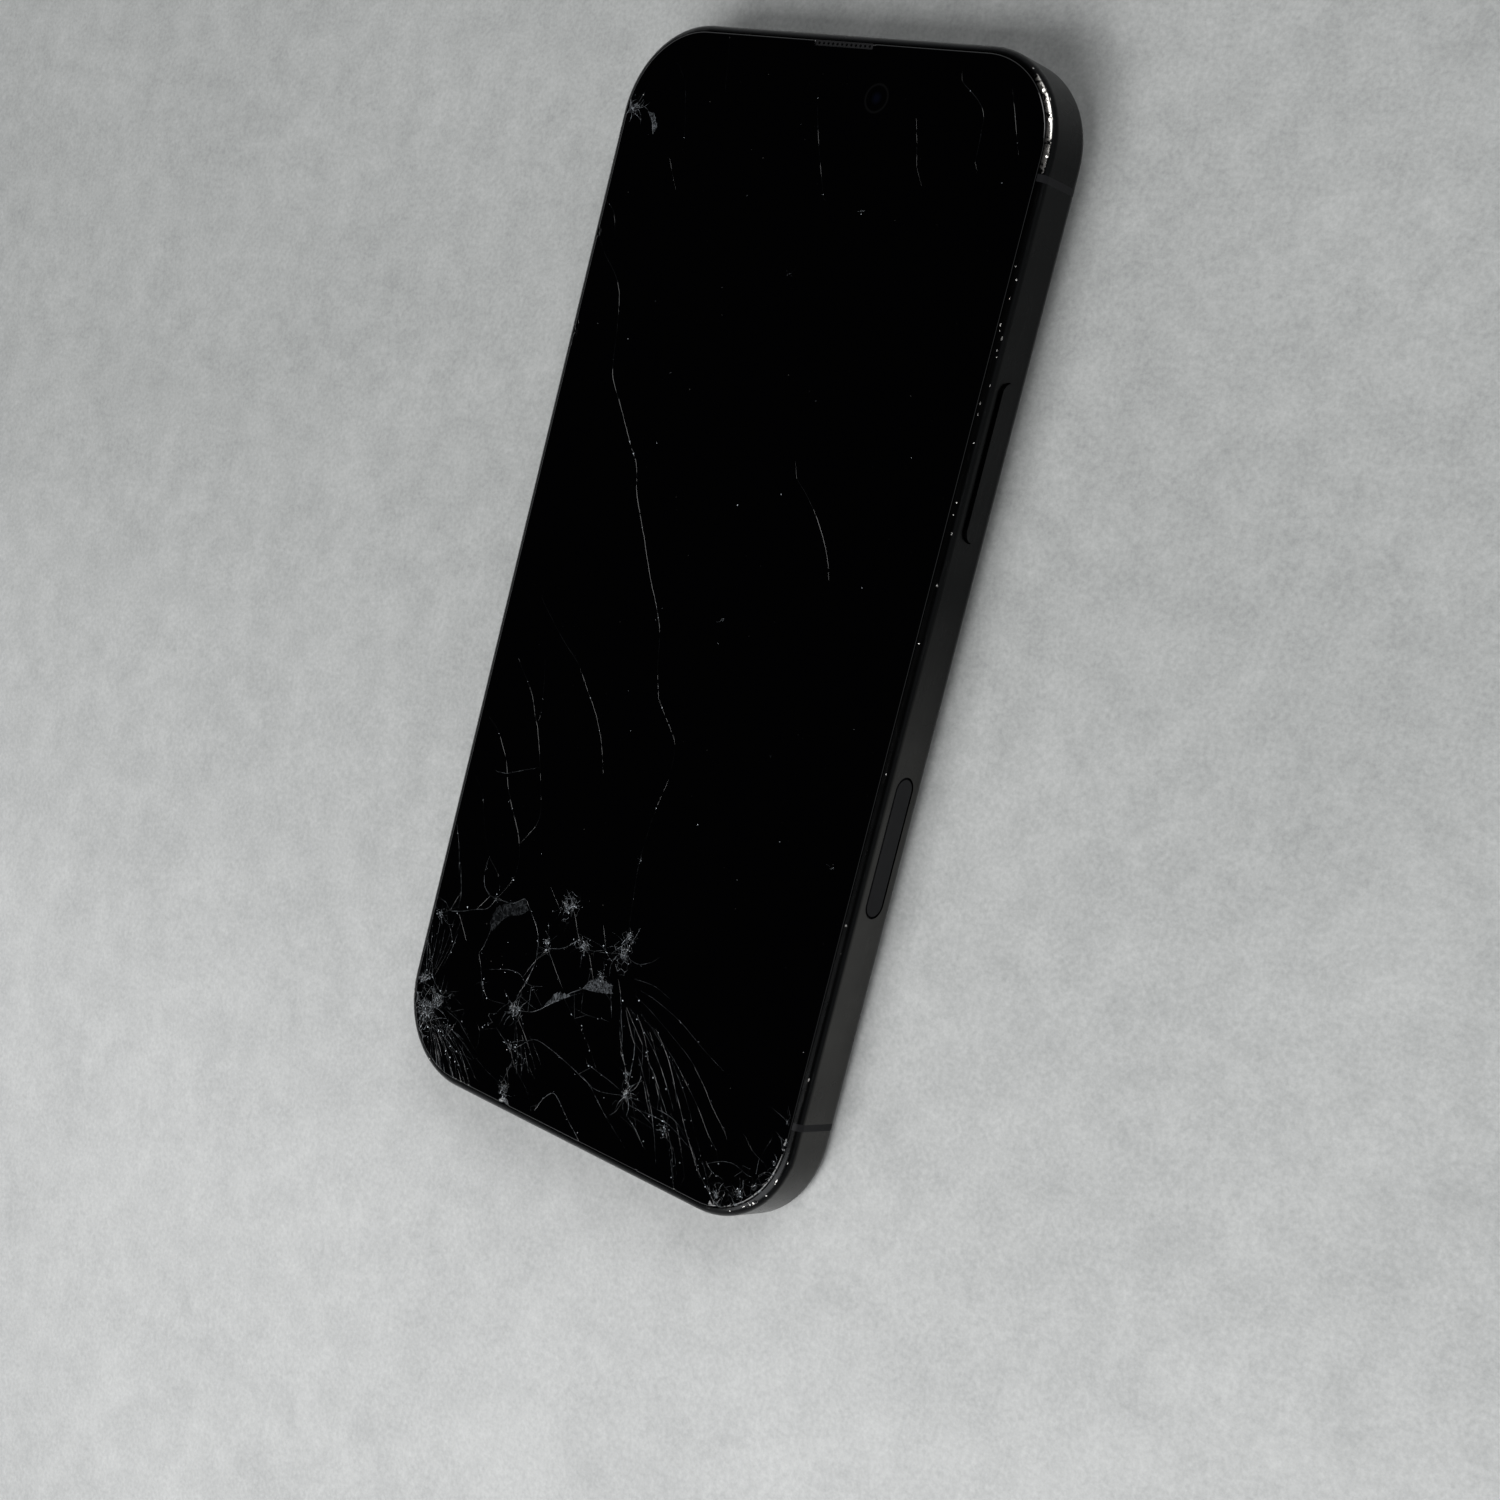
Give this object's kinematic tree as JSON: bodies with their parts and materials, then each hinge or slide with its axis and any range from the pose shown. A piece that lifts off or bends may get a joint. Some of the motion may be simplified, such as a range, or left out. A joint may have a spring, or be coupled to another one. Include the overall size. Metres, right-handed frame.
{
  "type": "smartphone",
  "caption": "Flat-sided slab phone with a shattered black cover glass, matte black band, raised rear camera plateau, charging socket and sprung side buttons.",
  "frame": {"origin": "under the middle of the body, level with the undersides of the rear camera rings that it rests on", "axes": "+X to the right as the screen is read, +Y to the top edge, +Z out of the screen"},
  "size_m": [0.0724, 0.1476, 0.0102],
  "materials": {
    "band": "matte anodised",
    "break_plastic": "matte",
    "cover_glass": "polished, cracked",
    "rear_glass": "satin",
    "gasket": "matte",
    "black_plastic": "matte",
    "panel": "gloss",
    "steel": "brushed",
    "ribbon": "satin",
    "mesh": "fine mesh",
    "ring_metal": "satin",
    "sapphire": "polished",
    "flash": "frosted",
    "camera_body": "matte",
    "led": "satin",
    "copper": "varnished wire",
    "ferrite": "matte",
    "magnet": "plated",
    "cell": "foil pouch",
    "pull_tab": "matte",
    "board": "solder mask",
    "shield_can": "tinned",
    "connector": "moulded",
    "socket_metal": "drawn",
    "gold": "plated",
    "screw": "turned",
    "dark_screw": "blackened",
    "button": "matte anodised"
  },
  "bodies": {
    "phone": {"frame": "band", "antenna_breaks": "break_plastic", "antenna_window": "break_plastic", "front_glass": "cover_glass", "display_gasket": "gasket", "display_carrier": "black_plastic", "display_panel": "panel", "display_shield": "steel", "display_flex": "ribbon", "earpiece_mesh": "mesh", "rear_glass": "rear_glass", "rear_gasket": "gasket", "lens_rings": "ring_metal", "lens_windows": "sapphire", "flash_lens": "flash", "wide_camera": "camera_body", "ultrawide_camera": "camera_body", "camera_bracket": "steel", "flash_module": "led", "charging_coil": "copper", "coil_shield": "ferrite", "magnet_ring": "magnet", "battery": "cell", "battery_adhesive": "pull_tab", "logic_board": "board", "board_shields": "shield_can", "board_connectors": "connector", "connector_cover": "steel", "front_camera": "camera_body", "sensor_module": "camera_body", "earpiece_speaker": "black_plastic", "loudspeaker": "black_plastic", "speaker_mesh": "mesh", "haptic_motor": "steel", "charge_port": "socket_metal", "port_flex": "ribbon", "microphones": "gold", "antenna_flexes": "ribbon", "internal_screws": "screw", "bottom_screws": "dark_screw", "side_button_switch": "gold", "volume_switches": "gold", "mute_switch_housing": "connector"},
    "side_button": {"side_button": "button"},
    "volume_up": {"volume_up_button": "button"},
    "volume_down": {"volume_down_button": "button"},
    "mute": {"mute_switch": "button"}
  },
  "joints": [
    {"name": "side_button_press", "type": "slide", "parent": "phone", "child": "side_button", "axis": [-1, 0, 0], "range_m": [0, 0.0003], "stiffness_N_per_m": 600, "springref_m": -0.003},
    {"name": "volume_up_press", "type": "slide", "parent": "phone", "child": "volume_up", "axis": [1, 0, 0], "range_m": [0, 0.0003], "stiffness_N_per_m": 600, "springref_m": -0.003},
    {"name": "volume_down_press", "type": "slide", "parent": "phone", "child": "volume_down", "axis": [1, 0, 0], "range_m": [0, 0.0003], "stiffness_N_per_m": 600, "springref_m": -0.003},
    {"name": "mute_switch_slide", "type": "slide", "parent": "phone", "child": "mute", "axis": [0, 0, 1], "range_m": [-0.0013, 0]}
  ]
}
